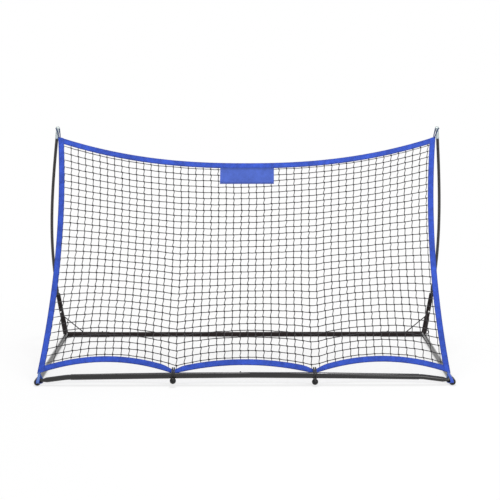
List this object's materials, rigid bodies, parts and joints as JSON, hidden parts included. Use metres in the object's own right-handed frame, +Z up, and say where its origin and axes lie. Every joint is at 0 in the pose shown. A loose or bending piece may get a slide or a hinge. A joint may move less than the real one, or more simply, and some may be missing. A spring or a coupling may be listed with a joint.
{
  "type": "rebounder net",
  "caption": "Portable rebounder: a scalloped net with a folded border, tied to a black steel floor frame and held back by two bent poles.",
  "frame": {"origin": "centre of the base on the floor, midway between the foremost and the rearmost point", "axes": "+X to the right as the player sees it, +Y away from the player towards the rear bar, +Z up"},
  "size_m": [2.2408, 0.9604, 1.2492],
  "materials": {
    "black_steel": "glossy black powder coat",
    "zinc_steel": "bright zinc plate",
    "black_plastic": "satin moulded plastic",
    "fibreglass": "satin fibreglass rod",
    "clear_plastic": "clear vinyl",
    "blue_nylon": "woven polyester",
    "tag_vinyl": "coated cloth",
    "blue_cord": "braided cord",
    "net_cord": "knotted twine",
    "elastic_cord": "braided elastic cord"
  },
  "bodies": {
    "base": {"border_bottom": "blue_nylon", "border_left": "blue_nylon", "border_right": "blue_nylon", "border_top": "blue_nylon", "bungee_loop_left": "elastic_cord", "bungee_loop_right": "elastic_cord", "corner_connector_left": "black_plastic", "corner_connector_right": "black_plastic", "corner_cord_right": "elastic_cord", "corner_strap_left": "blue_nylon", "corner_strap_right": "blue_nylon", "front_bar_button_spring": "zinc_steel", "front_bar_left": "black_steel", "front_bar_right": "black_steel", "front_end_tube_left": "black_steel", "front_end_tube_right": "black_steel", "net": "net_cord", "pole_bushing_left": "black_plastic", "pole_bushing_right": "black_plastic", "pole_cap_left": "clear_plastic", "pole_cap_right": "clear_plastic", "pole_ferrule_left": "zinc_steel", "pole_ferrule_right": "zinc_steel", "pole_left": "fibreglass", "pole_right": "fibreglass", "rear_bar_left": "black_steel", "rear_bar_left_button_spring": "zinc_steel", "rear_bar_middle_button_spring": "zinc_steel", "rear_bar_right": "black_steel", "rear_bar_right_button_spring": "zinc_steel", "rear_corner_left": "black_steel", "rear_corner_right": "black_steel", "shock_cord_left": "elastic_cord", "shock_cord_right": "elastic_cord", "side_rail_left": "black_steel", "side_rail_right": "black_steel", "tag": "tag_vinyl", "top_loop_left": "blue_cord", "top_loop_right": "blue_cord", "upright_left_button_spring": "zinc_steel", "upright_right_button_spring": "zinc_steel", "upright_tube_left": "black_steel", "upright_tube_right": "black_steel"},
    "front_bar_button": {"front_bar_button": "zinc_steel"},
    "rear_bar_middle_button": {"rear_bar_middle_button": "zinc_steel"},
    "rear_bar_left_button": {"rear_bar_left_button": "zinc_steel"},
    "rear_bar_right_button": {"rear_bar_right_button": "zinc_steel"},
    "upright_left_button": {"upright_left_button": "zinc_steel"},
    "upright_right_button": {"upright_right_button": "zinc_steel"},
    "bungee_ball_left": {"bungee_ball_left": "black_plastic"},
    "bungee_ball_right": {"bungee_ball_right": "black_plastic"}
  },
  "joints": [
    {"name": "front_bar_button_press", "type": "slide", "parent": "base", "child": "front_bar_button", "axis": [0, 0, -1], "range_m": [0, 0.0045], "stiffness_N_per_m": 300, "springref_m": -0.003, "deforming": ["front_bar_button_spring"]},
    {"name": "rear_bar_middle_button_press", "type": "slide", "parent": "base", "child": "rear_bar_middle_button", "axis": [0, 0, -1], "range_m": [0, 0.0045], "stiffness_N_per_m": 300, "springref_m": -0.003, "deforming": ["rear_bar_middle_button_spring"]},
    {"name": "rear_bar_left_button_press", "type": "slide", "parent": "base", "child": "rear_bar_left_button", "axis": [0, 0, -1], "range_m": [0, 0.0045], "stiffness_N_per_m": 300, "springref_m": -0.003, "deforming": ["rear_bar_left_button_spring"]},
    {"name": "rear_bar_right_button_press", "type": "slide", "parent": "base", "child": "rear_bar_right_button", "axis": [0, 0, -1], "range_m": [0, 0.0045], "stiffness_N_per_m": 300, "springref_m": -0.003, "deforming": ["rear_bar_right_button_spring"]},
    {"name": "upright_left_button_press", "type": "slide", "parent": "base", "child": "upright_left_button", "axis": [0.2055, 0.9781, 0.0318], "range_m": [0, 0.0045], "stiffness_N_per_m": 300, "springref_m": -0.003, "deforming": ["upright_left_button_spring"]},
    {"name": "upright_right_button_press", "type": "slide", "parent": "base", "child": "upright_right_button", "axis": [-0.2055, 0.9781, 0.0318], "range_m": [0, 0.0045], "stiffness_N_per_m": 300, "springref_m": -0.003, "deforming": ["upright_right_button_spring"]},
    {"name": "bungee_ball_left_pull", "type": "slide", "parent": "base", "child": "bungee_ball_left", "axis": [0, -1, 0], "range_m": [0, 0.04], "stiffness_N_per_m": 120, "springref_m": -0.02, "deforming": ["bungee_loop_left"]},
    {"name": "bungee_ball_right_pull", "type": "slide", "parent": "base", "child": "bungee_ball_right", "axis": [0, -1, 0], "range_m": [0, 0.04], "stiffness_N_per_m": 120, "springref_m": -0.02, "deforming": ["bungee_loop_right"]}
  ]
}
